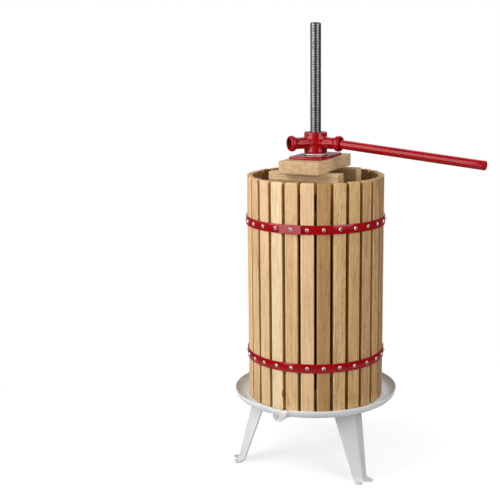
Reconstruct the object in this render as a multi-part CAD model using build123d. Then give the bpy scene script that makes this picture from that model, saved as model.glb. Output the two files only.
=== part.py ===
from build123d import *
import os
from math import sin, cos, tan, radians, sqrt

# Basket press for fruit. Millimetres, +Z up. The origin is on the spindle's
# axis at floor level. The pouring lip points to -Y.
# An azimuth phi means the direction (sin phi, -cos phi, 0): 0 is -Y, 90 is +X.

os.makedirs("parts", exist_ok=True)

# ---- driving dimensions -------------------------------------------------
# tray
SHEET = 2.0            # tray sheet
FLOOR_Z = 148.0        # top of the raised floor that the basket stands on
GUTTER_Z = 145.0       # top of the juice gutter round it
FLOOR_R = 142.5        # edge of the raised floor
GUTTER_R0, GUTTER_R1 = 146.0, 151.0
WALL_R = 16.2          # inside radius of the turned-up wall
WALL_DEG = 84.0        # how far the wall turns up
RIM_TOP = 162.3
# pouring lip
LIP_HALF = 11.5        # inside half width, and radius of its round bottom
LIP_END = 181.5        # how far the lip reaches from the axis
LIP_SLOPE = 9.0
LIP_BOTTOM_Z = 144.8   # inside bottom of the lip at r = 155
# legs
LEG_PHI = {"leg_left": -60.0, "leg_right": 60.0, "leg_rear": 178.0}
LEG_SHEET = 3.0
LEG_TURN = 33.0        # each face is turned this far from the radial direction
LEG_TOP_Z = FLOOR_Z - SHEET
LEG_RIDGE_TOP, LEG_RIDGE_FOOT = 131.0, 166.0
LEG_FACE_TOP, LEG_FACE_FOOT = 43.7, 19.3
FOOT_S, FOOT_H = 10.8, 7.0     # foot hole, along the face and out from it
FOOT_HOLE_R, FOOT_TAB_R = 3.0, 8.2
BOLT_S, BOLT_H = 27.0, -13.0   # leg bolt, along the face and in from it
BOLT_R, BOLT_HOLE_R = 3.0, 3.2
# spindle
SPINDLE_R = 11.0
SPINDLE_TOP = 910.0
SPINDLE_FOOT_R = 8.0
SPINDLE_FOOT_Z = 119.0
COLLAR_R, COLLAR_H = 22.0, 6.0
STIFF_R, STIFF_T = 50.0, 5.0
# basket
STAVES = 27
STAVE_W, STAVE_T, STAVE_H = 26.4, 12.0, 460.0
STAVE_FACE_R = 139.6   # outer flat of a stave, from the axis
STAVE_PHASE = 4.1      # azimuth of the first stave
BASKET_Z = 148.3
HOOP_R, HOOP_T, HOOP_H = 140.0, 2.0, 18.0
HOOP_Z = {"lower": 231.2, "upper": 509.2}
LAP_HALF, LAP_FACE = 24.0, 142.9
SCREW_R, SCREW_HOLE_R = 2.0, 2.05
SCREW_HEAD_R, SCREW_HEAD_H, SCREW_LEN = 3.7, 2.7, 10.0
# pressing stack
STACK_TURN = 2.0       # the loose stack lies turned this far about the spindle
BOARD_R, BOARD_T, BOARD_Z = 124.0, 25.0, 510.0
STACK_HOLE_R = 13.0
BEAM_L, BEAM_W, BEAM_H = 150.0, 29.0, 41.5
BEAM_OFF = 51.0        # beam centre line from the axis
BLOCK_L, BLOCK_W, BLOCK_H = 180.0, 85.0, 25.0
PLATE_L, PLATE_W, PLATE_T, PLATE_CORNER = 118.0, 72.0, 5.0, 9.0
PLATE_SCREW_U, PLATE_SCREW_V = 28.0, 14.0
# nut and handle
WASHER_R, WASHER_T = 24.5, 3.2
GAP = 0.3              # between pieces that move on each other
NUT_Z0, NUT_Z1 = 651.8, 693.9
NUT_R = 23.2
NUT_BORE_R = 11.05
ARM_Z = 672.8
ARM_R, ARM_COLLAR_R, ARM_END = 11.9, 16.0, 60.0
SOCKET_R, SOCKET_FLOOR = 10.2, 25.0
HANDLE_PHI = 82.3
ARM_PHI = [HANDLE_PHI, HANDLE_PHI - 120.0, HANDLE_PHI + 120.0]
HANDLE_R, HANDLE_IN, HANDLE_OUT = 9.0, 33.0, 371.0
HANDLE_DROOP, HANDLE_PIVOT = 4.1, 46.5

nodes = {}


def turn(phi):
    """Turns a shape built along +X to the azimuth phi."""
    return Rot(0, 0, phi - 90.0)


def cyl(r, z0, z1, x=0.0, y=0.0):
    return Pos(x, y, (z0 + z1) / 2) * Cylinder(r, z1 - z0)


def lathe(points):
    """Solid of revolution about Z from a closed outline of (r, z) points."""
    face = make_face(Plane.XZ * Polyline(*points, close=True))
    return revolve(face, Axis.Z, 360)


def dome(r, edge, h):
    """Low round head of radius r: a straight edge, then an arc about the axis."""
    rise = h - edge
    big = (r * r + rise * rise) / (2 * rise)
    mid = (0.6 * r, h - big + sqrt(big * big - 0.36 * r * r))
    with BuildSketch(Plane.XZ) as sk:
        with BuildLine():
            Polyline((0, h), (0, 0), (r, 0), (r, edge))
            ThreePointArc((r, edge), mid, (0, h))
        make_face()
    return revolve(sk.sketch, Axis.Z, 360)


def hexagon(af, z0, z1, hole, x=0.0, y=0.0):
    body = extrude(Pos(x, y, z0) * RegularPolygon(af / sqrt(3), 6), z1 - z0)
    # corners turned off on both faces
    cone = Pos(x, y, 0) * lathe(
        [
            (0.01, z0),
            (af * 0.5, z0),
            (af * 0.5 / cos(radians(30)) + 0.2, z0 + af * 0.05),
            (af * 0.5 / cos(radians(30)) + 0.2, z1 - af * 0.05),
            (af * 0.5, z1),
            (0.01, z1),
        ]
    )
    core = cyl(0.02, z0, z1, x, y)
    return (body & (cone + core)) - cyl(hole, z0 - 1, z1 + 1, x, y)


# ---- tray ---------------------------------------------------------------
CZ = GUTTER_Z + WALL_R
A = radians(WALL_DEG)


def on_wall(r, deg):
    t = radians(deg)
    return (GUTTER_R1 + r * sin(t), CZ - r * cos(t))


inner_end, outer_end = on_wall(WALL_R, WALL_DEG), on_wall(WALL_R + SHEET, WALL_DEG)
rim_mid = ((inner_end[0] + outer_end[0]) / 2, RIM_TOP)
HOLE_R0 = SPINDLE_FOOT_R + 0.3
with BuildSketch(Plane.XZ) as tray_sk:
    with BuildLine():
        Polyline(
            (HOLE_R0, FLOOR_Z),
            (HOLE_R0, FLOOR_Z - SHEET),
            (FLOOR_R - 0.8, FLOOR_Z - SHEET),
            (GUTTER_R0 - 0.8, GUTTER_Z - SHEET),
            (GUTTER_R1, GUTTER_Z - SHEET),
        )
        ThreePointArc(
            (GUTTER_R1, GUTTER_Z - SHEET),
            on_wall(WALL_R + SHEET, WALL_DEG / 2),
            outer_end,
        )
        ThreePointArc(outer_end, rim_mid, inner_end)
        ThreePointArc(
            inner_end, on_wall(WALL_R, WALL_DEG / 2), (GUTTER_R1, GUTTER_Z)
        )
        Polyline(
            (GUTTER_R1, GUTTER_Z),
            (GUTTER_R0, GUTTER_Z),
            (FLOOR_R, FLOOR_Z),
            (HOLE_R0, FLOOR_Z),
        )
    make_face()
tray = revolve(tray_sk.sketch, Axis.Z, 360)

# the room above the tray's sheet, used to trim the lip's walls
with BuildSketch(Plane.XZ) as room_sk:
    with BuildLine():
        Polyline(
            (0, GUTTER_Z),
            (GUTTER_R1, GUTTER_Z),
        )
        ThreePointArc(
            (GUTTER_R1, GUTTER_Z), on_wall(WALL_R, WALL_DEG / 2), inner_end
        )
        Polyline(inner_end, (inner_end[0], 190.0), (0, 190.0), (0, GUTTER_Z))
    make_face()
room = revolve(room_sk.sketch, Axis.Z, 360)


def channel(half, extra_top, y0, y1):
    """Round-bottomed channel along -Y, sloping down outwards."""
    zc = LIP_BOTTOM_Z + LIP_HALF
    sk = Rectangle(2 * half, extra_top, align=(Align.CENTER, Align.MIN)) + Circle(half)
    solid = extrude(Plane.XZ * sk, y0 - y1)  # along -Y
    return Pos(0, -155, zc) * Rot(LIP_SLOPE, 0, 0) * Pos(0, 155 + y0, 0) * solid


lip_out = channel(LIP_HALF + SHEET, 10.0, -146.0, -LIP_END)
lip_in = channel(LIP_HALF, 30.0, -140.0, -LIP_END - 6.0)
# the lip's top edges fall from the rim to its end
fall = Pos(0, -168.0, RIM_TOP - 1.5) * Rot(38, 0, 0) * Box(
    80, 80, 60, align=(Align.CENTER, Align.MAX, Align.MIN)
)
above = Pos(0, -150, RIM_TOP - 1.2) * Box(
    80, 80, 60, align=(Align.CENTER, Align.CENTER, Align.MIN)
)
lip_trim = Pos(0, -LIP_END, 0) * Box(80, 40, 400, align=(Align.CENTER, Align.MAX, Align.CENTER))
lip = lip_out - lip_in - room - fall - above - lip_trim
notch = lip_in & (Pos(0, -170, 0) * Box(60, 34, 400))
tray = tray - notch + lip


def leg_point(s, h, side, ridge):
    """Point on a leg: s along a face from the ridge, h out from the face."""
    t = radians(LEG_TURN)
    return (
        ridge - s * sin(t) + h * cos(t),
        side * (s * cos(t) + h * sin(t)),
    )


bolt_xy = []
for phi in LEG_PHI.values():
    for side in (1, -1):
        x, y = leg_point(BOLT_S, BOLT_H, side, LEG_RIDGE_TOP)
        v = turn(phi) * Pos(x, y, 0)
        bolt_xy.append((v.position.X, v.position.Y))
for x, y in bolt_xy:
    tray = tray - cyl(BOLT_HOLE_R, FLOOR_Z - 20, FLOOR_Z + 5, x, y)
nodes["tray"] = tray


# ---- legs ---------------------------------------------------------------
def chevron(z, ridge, width):
    t = radians(LEG_TURN)
    k = LEG_SHEET
    pts = [
        leg_point(width, 0, 1, ridge),
        leg_point(0, 0, 1, ridge),
        leg_point(width, 0, -1, ridge),
        leg_point(width, -k, -1, ridge),
        (ridge - k / cos(t), 0),
        leg_point(width, -k, 1, ridge),
    ]
    return Pos(0, 0, z) * make_face(Polyline(*pts, close=True))


def make_leg():
    body = loft(
        [
            chevron(0.0, LEG_RIDGE_FOOT, LEG_FACE_FOOT),
            chevron(LEG_TOP_Z, LEG_RIDGE_TOP, LEG_FACE_TOP),
        ],
        ruled=True,
    )
    # the bend along the ridge
    ridge = [
        e
        for e in body.edges()
        if e.length > 100 and abs(e.center().Y) < 0.01
    ]
    outer = [e for e in ridge if e.center().X > (LEG_RIDGE_TOP + LEG_RIDGE_FOOT) / 2 - 1]
    inner = [e for e in ridge if e not in outer]
    body = fillet(outer, 6.0)
    inner = [
        e
        for e in body.edges()
        if e.length > 100 and abs(e.center().Y) < 0.01
    ]
    if inner:
        body = fillet(inner, 3.0)
    # notch in the ridge between the two foot tabs
    body = body - Pos(LEG_RIDGE_FOOT, 0, 0) * Box(16, 4.4, 14)
    for side in (1, -1):
        # flange under the tray, bent in from the top of the face
        pts = [
            leg_point(s, h, side, LEG_RIDGE_TOP)
            for s, h in (
                (9, -1.2),
                (41.5, -1.2),
                (40, -25),
                (36, -28),
                (18, -28),
                (9, -16),
            )
        ]
        flange = extrude(
            Pos(0, 0, LEG_TOP_Z - LEG_SHEET) * make_face(Polyline(*pts, close=True)),
            LEG_SHEET,
        )
        half = Pos(100, side * 60.6, LEG_TOP_Z) * Box(200, 120, 40)
        bx, by = leg_point(BOLT_S, BOLT_H, side, LEG_RIDGE_TOP)
        flange = (flange & half) - cyl(BOLT_HOLE_R, 100, 200, bx, by)
        body = body + flange
        # foot tab, bent out, with a round end
        hx, hy = leg_point(FOOT_S, FOOT_H, side, LEG_RIDGE_FOOT)
        pts = [
            leg_point(s, h, side, LEG_RIDGE_FOOT)
            for s, h in (
                (FOOT_S - FOOT_TAB_R, -2.0),
                (FOOT_S + FOOT_TAB_R, -2.0),
                (FOOT_S + FOOT_TAB_R, FOOT_H),
                (FOOT_S - FOOT_TAB_R, FOOT_H),
            )
        ]
        tab = extrude(make_face(Polyline(*pts, close=True)), LEG_SHEET)
        tab = tab + cyl(FOOT_TAB_R, 0, LEG_SHEET, hx, hy)
        half = Pos(150, side * 61.5, 0) * Box(200, 120, 40)
        body = body + (tab & half)
        body = body - cyl(FOOT_HOLE_R, -5, 20, hx, hy)
    return body


leg = make_leg()
for name, phi in LEG_PHI.items():
    nodes[name] = turn(phi) * leg

# ---- leg bolts and nuts -------------------------------------------------
bolts, nuts = [], []
for x, y in bolt_xy:
    head = dome(7.0, 0.8, 3.4)
    bolts.append(
        Pos(x, y, FLOOR_Z) * head + cyl(BOLT_R, LEG_TOP_Z - LEG_SHEET - 9.0, FLOOR_Z, x, y)
    )
    nuts.append(
        hexagon(
            10.0,
            LEG_TOP_Z - LEG_SHEET - 5.2,
            LEG_TOP_Z - LEG_SHEET,
            BOLT_R + 0.05,
            x,
            y,
        )
    )
nodes["leg_bolts"] = Compound(children=bolts)
nodes["leg_nuts"] = Compound(children=nuts)

# ---- spindle and what holds it ------------------------------------------
shoulder = FLOOR_Z + COLLAR_H
nodes["spindle"] = lathe(
    [
        (0, SPINDLE_FOOT_Z),
        (SPINDLE_FOOT_R - 1.2, SPINDLE_FOOT_Z),
        (SPINDLE_FOOT_R, SPINDLE_FOOT_Z + 1.2),
        (SPINDLE_FOOT_R, shoulder),
        (SPINDLE_R, shoulder),
        (SPINDLE_R, SPINDLE_TOP - 2.0),
        (SPINDLE_R - 2.0, SPINDLE_TOP),
        (0, SPINDLE_TOP),
    ]
)
nodes["spindle_collar"] = lathe(
    [
        (SPINDLE_FOOT_R + 0.2, FLOOR_Z),
        (COLLAR_R, FLOOR_Z),
        (COLLAR_R, shoulder - 1.5),
        (COLLAR_R - 1.5, shoulder),
        (SPINDLE_FOOT_R + 0.2, shoulder),
    ]
)
under = FLOOR_Z - SHEET
nodes["stiffener_plate"] = lathe(
    [
        (SPINDLE_FOOT_R + 0.2, under - STIFF_T),
        (STIFF_R - 1.0, under - STIFF_T),
        (STIFF_R, under - STIFF_T + 1.0),
        (STIFF_R, under),
        (SPINDLE_FOOT_R + 0.2, under),
    ]
)
nodes["spindle_washer"] = cyl(15.0, under - STIFF_T - 3.0, under - STIFF_T) - cyl(
    SPINDLE_FOOT_R + 0.3, 0, 300
)
nodes["spindle_nut"] = hexagon(
    24.0, under - STIFF_T - 16.0, under - STIFF_T - 3.0, SPINDLE_FOOT_R + 0.05
)

# ---- basket -------------------------------------------------------------
mid_r = STAVE_FACE_R - STAVE_T / 2
stave = Box(STAVE_T, STAVE_W, STAVE_H)
long_edges = stave.edges().filter_by(Axis.Z)
stave = fillet([e for e in long_edges if e.center().X > 0], 2.6)
stave = fillet(
    [e for e in stave.edges().filter_by(Axis.Z) if e.center().X < -STAVE_T / 2 + 0.1], 1.8
)
ends = [f for f in stave.faces() if abs(abs(f.center().Z) - STAVE_H / 2) < 0.01]
stave = chamfer([e for f in ends for e in f.edges()], 0.9)
stave = Pos(mid_r, 0, BASKET_Z + STAVE_H / 2) * stave
for z0 in HOOP_Z.values():
    bit = Pos(STAVE_FACE_R, 0, z0 + HOOP_H / 2) * Rot(0, 90, 0) * Cylinder(
        SCREW_HOLE_R, 17.0
    )
    stave = stave - bit
stave_phi = [STAVE_PHASE + 360.0 / STAVES * i for i in range(STAVES)]
for i, phi in enumerate(stave_phi):
    nodes[f"stave_{i + 1:02d}"] = turn(phi) * stave

screw_head = dome(SCREW_HEAD_R, 0.6, SCREW_HEAD_H)
for which, lap_index in (("upper", 0), ("lower", 13)):
    z0 = HOOP_Z[which]
    zm = z0 + HOOP_H / 2
    hoop = cyl(HOOP_R + HOOP_T, z0, z0 + HOOP_H) - cyl(HOOP_R, z0 - 1, z0 + HOOP_H + 1)
    # the strip's ends are lapped under one screw, and the outer end lies flat
    lap = Pos((138.0 + LAP_FACE) / 2, 0, zm) * Box(LAP_FACE - 138.0, 2 * LAP_HALF, HOOP_H)
    lap = lap - cyl(HOOP_R + 0.5, z0 - 1, z0 + HOOP_H + 1)
    hoop = hoop + turn(stave_phi[lap_index]) * lap
    screws = []
    for i, phi in enumerate(stave_phi):
        hole = Pos(HOOP_R, 0, zm) * Rot(0, 90, 0) * Cylinder(SCREW_HOLE_R, 12.0)
        hoop = hoop - turn(phi) * hole
        seat = LAP_FACE if i == lap_index else HOOP_R + HOOP_T + 0.02
        shank = Pos(seat - SCREW_LEN / 2, 0, zm) * Rot(0, 90, 0) * Cylinder(
            SCREW_R, SCREW_LEN
        )
        head = Pos(seat, 0, zm) * Rot(0, 90, 0) * screw_head
        screws.append(turn(phi) * (head + shank))
    nodes[f"hoop_{which}"] = hoop
    nodes[f"hoop_screws_{which}"] = Compound(children=screws)

# ---- pressing stack -----------------------------------------------------
spin = Rot(0, 0, STACK_TURN)
disc = cyl(BOARD_R, BOARD_Z, BOARD_Z + BOARD_T) - cyl(
    STACK_HOLE_R, BOARD_Z - 1, BOARD_Z + BOARD_T + 1
)
for name, side in (("press_board_front", -1), ("press_board_rear", 1)):
    half = disc & (Pos(0, side * 100.5, BOARD_Z) * Box(400, 200, 100))
    rim = [
        e
        for e in half.edges()
        if e.length > 200 and abs(e.center().Z - BOARD_Z - BOARD_T / 2) > 1
    ]
    nodes[name] = spin * chamfer(rim, 1.5)


def plank(l, w, h, z, edge=1.4):
    b = Box(l, w, h)
    b = fillet(b.edges(), edge)
    return Pos(0, 0, z + h / 2) * b


z = BOARD_Z + BOARD_T
beam = plank(BEAM_L, BEAM_W, BEAM_H, 0)
for name, side in (("lower_beam_left", -1), ("lower_beam_right", 1)):
    nodes[name] = spin * Pos(side * BEAM_OFF, 0, z) * Rot(0, 0, 90) * beam
z += BEAM_H
for name, side in (("upper_beam_front", -1), ("upper_beam_rear", 1)):
    nodes[name] = spin * Pos(0, side * BEAM_OFF, z) * beam
z += BEAM_H
screw_uv = [(u, v) for u in (-PLATE_SCREW_U, PLATE_SCREW_U) for v in (-PLATE_SCREW_V, PLATE_SCREW_V)]
block = plank(BLOCK_W, BLOCK_L, BLOCK_H, z) - cyl(STACK_HOLE_R, z - 1, z + BLOCK_H + 1)
for u, v in screw_uv:
    block = block - cyl(1.8, z + BLOCK_H - 16, z + BLOCK_H + 1, v, u)
nodes["top_block"] = spin * block
z += BLOCK_H
plate = extrude(
    Pos(0, 0, z) * RectangleRounded(PLATE_W, PLATE_L, PLATE_CORNER), PLATE_T
)
top_edges = [e for e in plate.edges() if abs(e.center().Z - z - PLATE_T) < 0.01]
plate = fillet(top_edges, 1.2)
plate = plate - cyl(SPINDLE_R + 1.5, z - 1, z + PLATE_T + 1)
plate_screws = []
for u, v in screw_uv:
    plate = plate - cyl(1.9, z - 1, z + PLATE_T + 1, v, u)
    plate = plate - Pos(v, u, 0) * lathe(
        [(0, z + PLATE_T - 2.4), (1.9, z + PLATE_T - 2.4), (4.3, z + PLATE_T), (4.3, z + PLATE_T + 1), (0, z + PLATE_T + 1)]
    )
    plate_screws.append(
        Pos(v, u, 0)
        * lathe(
            [
                (0, z - 14.0),
                (0.4, z - 14.0),
                (1.7, z - 10.5),
                (1.7, z + PLATE_T - 2.3),
                (3.9, z + PLATE_T - 0.15),
                (0, z + PLATE_T - 0.15),
            ]
        )
    )
nodes["thrust_plate"] = spin * plate
nodes["plate_screws"] = Compound(children=[spin * s for s in plate_screws])
z += PLATE_T

# ---- washer, nut and handle ---------------------------------------------
wz = z + GAP
nodes["thrust_washer"] = lathe(
    [
        (SPINDLE_R + 0.9, wz),
        (WASHER_R - 0.4, wz),
        (WASHER_R, wz + 0.4),
        (WASHER_R, wz + WASHER_T - 0.4),
        (WASHER_R - 0.4, wz + WASHER_T),
        (SPINDLE_R + 0.9, wz + WASHER_T),
    ]
)

hub = lathe(
    [
        (0, NUT_Z0),
        (NUT_R - 0.6, NUT_Z0),
        (NUT_R, NUT_Z0 + 0.6),
        (NUT_R, NUT_Z1 - 2.2),
        (NUT_R - 0.7, NUT_Z1 - 0.7),
        (NUT_R - 2.2, NUT_Z1),
        (0, NUT_Z1),
    ]
)
# one arm as a turned shape, first about Z, then laid along +X
arm_sk = [
    (0, 0),
    (14.6, 0),
    (14.6, 21.0),
    (12.6, 30.0),
    (ARM_R, 36.0),
    (ARM_R, 45.5),
    (12.9, 48.4),
    (14.8, 50.2),
    (ARM_COLLAR_R, 52.6),
    (ARM_COLLAR_R, 56.4),
    (14.8, 58.8),
    (13.2, ARM_END),
    (0, ARM_END),
]
arm = Pos(0, 0, ARM_Z) * Rot(0, 90, 0) * lathe(arm_sk)
socket = Pos(0, 0, ARM_Z) * Rot(0, 90, 0) * lathe(
    [
        (0, SOCKET_FLOOR),
        (SOCKET_R, SOCKET_FLOOR),
        (SOCKET_R, ARM_END - 1.2),
        (SOCKET_R + 2.0, ARM_END + 0.8),
        (0, ARM_END + 0.8),
    ]
)
nut = hub
for phi in ARM_PHI:
    nut = nut + turn(phi) * arm
for phi in ARM_PHI:
    nut = nut - turn(phi) * socket
nut = nut - cyl(NUT_BORE_R, NUT_Z0 - 1, NUT_Z1 + 1)
nodes["press_nut"] = nut

bar = lathe(
    [
        (0, 0),
        (HANDLE_R - 1.0, 0),
        (HANDLE_R, 1.0),
        (HANDLE_R, HANDLE_OUT - HANDLE_IN - 1.0),
        (HANDLE_R - 1.0, HANDLE_OUT - HANDLE_IN),
        (0, HANDLE_OUT - HANDLE_IN),
    ]
)
bar = Pos(HANDLE_IN - HANDLE_PIVOT, 0, 0) * Rot(0, 90, 0) * bar
bar = Pos(HANDLE_PIVOT, 0, ARM_Z) * Rot(0, HANDLE_DROOP, 0) * bar
nodes["handle_bar"] = turn(HANDLE_PHI) * bar

for name, shape in nodes.items():
    export_step(shape, f"parts/{name}.step")
print(len(nodes), "nodes")
for name in LEG_PHI:
    for side in (1, -1):
        hx, hy = leg_point(FOOT_S, FOOT_H, side, LEG_RIDGE_FOOT)
        p = (turn(LEG_PHI[name]) * Pos(hx, hy, 0)).position
        print("foot hole", name, round(p.X, 4), round(p.Y, 4))
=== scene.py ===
import math
import bpy
import bmesh
import numpy as np
import openvdb as vdb
from mathutils import Matrix, Vector


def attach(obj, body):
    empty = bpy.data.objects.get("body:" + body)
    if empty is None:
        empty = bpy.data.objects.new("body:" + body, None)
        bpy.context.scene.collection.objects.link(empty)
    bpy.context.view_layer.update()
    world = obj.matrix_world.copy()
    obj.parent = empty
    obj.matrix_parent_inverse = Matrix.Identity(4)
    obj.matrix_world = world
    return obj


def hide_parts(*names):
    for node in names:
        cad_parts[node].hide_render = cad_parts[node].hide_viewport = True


# Looks of a basket press for fruit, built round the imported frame.
# Helpers work in millimetres; meshes are stored in metres in the row frame.
# An azimuth phi means the direction (sin phi, -cos phi): 0 is -Y, 90 is +X.

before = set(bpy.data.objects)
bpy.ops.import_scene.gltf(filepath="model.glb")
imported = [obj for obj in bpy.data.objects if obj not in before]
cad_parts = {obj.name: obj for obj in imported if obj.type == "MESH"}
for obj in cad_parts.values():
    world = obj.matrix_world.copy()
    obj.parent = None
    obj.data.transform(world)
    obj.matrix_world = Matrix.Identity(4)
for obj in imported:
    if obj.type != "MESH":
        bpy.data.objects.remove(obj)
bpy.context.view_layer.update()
MM = 0.001
rad = math.radians
CAMERA_AZ = 24.3

# ---------------------------------------------------------------- dimensions
STAVES, STAVE_PHASE = 27, 4.1
STAVE_T, STAVE_W, STAVE_Z0, STAVE_Z1 = 12.0, 26.4, 148.3, 608.3
STAVE_MID_R = 139.6 - STAVE_T / 2
HOOP_R, HOOP_T, HOOP_H = 140.0, 2.0, 18.0
HOOP_Z = {"upper": 509.2, "lower": 231.2}
HOOP_LAP = {"upper": 0, "lower": 13}
LAP_HALF, LAP_FACE = 24.0, 142.9
STACK_TURN = 2.0
ARM_Z, HANDLE_PHI = 672.8, 82.3
LEG_PHI = {"leg_left": -60.0, "leg_right": 60.0, "leg_rear": 178.0}


# ------------------------------------------------------------------- helpers
def azimuth(phi):
    """Matrix that lays a shape built along +X in the direction phi."""
    a = rad(phi - 90.0)
    c, s = math.cos(a), math.sin(a)
    return np.array([[c, -s, 0.0], [s, c, 0.0], [0.0, 0.0, 1.0]])


def about(axis, deg):
    a = rad(deg)
    c, s = math.cos(a), math.sin(a)
    if axis == "X":
        return np.array([[1, 0, 0], [0, c, -s], [0, s, c]], float)
    if axis == "Y":
        return np.array([[c, 0, s], [0, 1, 0], [-s, 0, c]], float)
    return np.array([[c, -s, 0], [s, c, 0], [0, 0, 1]], float)


def add_mesh(name, verts, faces, sharp=38.0, weld=None):
    """New smooth-shaded object; edges bent more than sharp degrees stay crisp."""
    me = bpy.data.meshes.new(name)
    me.from_pydata((np.asarray(verts, float) * MM).tolist(), [], [list(map(int, f)) for f in faces])
    bm = bmesh.new()
    bm.from_mesh(me)
    if weld:
        bmesh.ops.remove_doubles(bm, verts=bm.verts, dist=weld * MM)
        bmesh.ops.dissolve_degenerate(bm, edges=bm.edges, dist=weld * MM * 0.5)
    bmesh.ops.recalc_face_normals(bm, faces=bm.faces)
    bm.to_mesh(me)
    bm.free()
    me.update()
    ob = bpy.data.objects.new(name, me)
    bpy.context.scene.collection.objects.link(ob)
    crisp(ob, sharp)
    return ob


def crisp(ob, sharp):
    me = ob.data
    bm = bmesh.new()
    bm.from_mesh(me)
    limit = rad(sharp)
    for f in bm.faces:
        f.smooth = True
    for e in bm.edges:
        e.smooth = not (len(e.link_faces) == 2 and e.calc_face_angle(0.0) > limit)
    bm.to_mesh(me)
    bm.free()
    me.update()


def modify(ob, kind, **values):
    m = ob.modifiers.new(kind.lower(), kind)
    for k, v in values.items():
        setattr(m, k, v)
    return m


def bake_modifiers(ob, sharp=38.0):
    """Puts the modifiers' result into the mesh itself."""
    dg = bpy.context.evaluated_depsgraph_get()
    dg.update()
    me = bpy.data.meshes.new_from_object(ob.evaluated_get(dg))
    old = ob.data
    ob.modifiers.clear()
    ob.data = me
    me.name = old.name
    bpy.data.meshes.remove(old)
    crisp(ob, sharp)
    return ob


def settle(ob, body, mat, slot, *cad):
    ob.data.materials.clear()
    for m in mat if isinstance(mat, (list, tuple)) else [mat]:
        ob.data.materials.append(m)
    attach(ob, body)
    if cad:
        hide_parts(*cad)
    return ob


def grid_faces(rows, cols, wrap=False):
    """Quads over vertices numbered row by row."""
    out = []
    for i in range(rows - 1):
        for j in range(cols if wrap else cols - 1):
            a, b = i * cols + j, i * cols + (j + 1) % cols
            out.append((a, b, b + cols, a + cols))
    return out


def lathe(profile, n=64):
    """Vertices and faces of a turned shape from (r, z) points; r = 0 closes it."""
    verts, faces, rings = [], [], []
    for r, z in profile:
        if r <= 1e-9:
            rings.append([len(verts)])
            verts.append((0.0, 0.0, z))
        else:
            rings.append(list(range(len(verts), len(verts) + n)))
            for k in range(n):
                t = 2 * math.pi * k / n
                verts.append((r * math.cos(t), r * math.sin(t), z))
    for a, b in zip(rings, rings[1:]):
        for k in range(n):
            m = (k + 1) % n
            if len(a) == 1 and len(b) == 1:
                continue
            if len(a) == 1:
                faces.append((a[0], b[k], b[m]))
            elif len(b) == 1:
                faces.append((a[k], a[m], b[0]))
            else:
                faces.append((a[k], a[m], b[m], b[k]))
    return np.array(verts), faces


def ring(profile, n=64):
    """As lathe, for a closed outline that doesn't touch the axis."""
    v, f = lathe(list(profile) + [profile[0]], n)
    last = len(v) - n
    f = [tuple(i - last if i >= last else i for i in q) for q in f]
    return v[:last], f


def arc(cx, cz, r, a0, a1, n):
    return [
        (cx + r * math.cos(rad(a0 + (a1 - a0) * i / n)), cz + r * math.sin(rad(a0 + (a1 - a0) * i / n)))
        for i in range(n + 1)
    ]


def rounded_box(size, r, step=8.0, corner=3):
    """Box with round edges and an even mesh, centred on the origin."""
    half = np.array(size, float) / 2
    cuts = []
    for h in half:
        inner = h - r
        edge = [inner + r * math.tan(rad(45.0 * i / corner)) for i in range(1, corner + 1)]
        n = max(1, int(round(2 * inner / step)))
        mid = list(np.linspace(-inner, inner, n + 1))
        cuts.append(np.array([-e for e in reversed(edge)] + mid + edge))
    index, verts, faces = {}, [], []

    def vert(p):
        key = tuple(np.round(p, 5))
        if key not in index:
            index[key] = len(verts)
            verts.append(p)
        return index[key]

    for ax in range(3):
        b, c = [k for k in range(3) if k != ax]
        for sign in (-1, 1):
            ids = np.empty((len(cuts[b]), len(cuts[c])), int)
            for i, u in enumerate(cuts[b]):
                for j, v in enumerate(cuts[c]):
                    p = np.zeros(3)
                    p[ax], p[b], p[c] = sign * half[ax], u, v
                    ids[i, j] = vert(p)
            for i in range(len(cuts[b]) - 1):
                for j in range(len(cuts[c]) - 1):
                    faces.append((ids[i, j], ids[i + 1, j], ids[i + 1, j + 1], ids[i, j + 1]))
    v = np.array(verts)
    core = np.clip(v, -(half - r), half - r)
    d = v - core
    length = np.linalg.norm(d, axis=1, keepdims=True)
    v = core + r * d / np.maximum(length, 1e-9)
    return v, faces


def waver(rng, n=4):
    """A smooth seeded wave of about unit size along a length of 0 to 1."""
    amp = rng.normal(0, 1, n) / np.arange(1, n + 1)
    ph = rng.uniform(0, 2 * math.pi, n)
    return lambda t: sum(a * np.sin(2 * math.pi * (k + 1) * 0.7 * t + p) for k, (a, p) in enumerate(zip(amp, ph)))


def from_field(field, lo, step, sharp=60.0):
    """Mesh of the surface where a sampled distance field is zero."""
    g = vdb.FloatGrid(float(field.max()))
    g.copyFromArray(np.ascontiguousarray(field.astype(np.float32)))
    pts, tris, quads = g.convertToPolygons(isovalue=0.0, adaptivity=0.0)
    pts = np.asarray(pts, float) * step + np.asarray(lo, float)
    faces = [tuple(q) for q in np.asarray(quads)] + [tuple(t) for t in np.asarray(tris)]
    return pts, faces


def smin(a, b, k):
    h = np.maximum(k - np.abs(a - b), 0.0) / k
    return np.minimum(a, b) - h * h * k * 0.25


def smax(a, b, k):
    return -smin(-a, -b, k)


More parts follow.
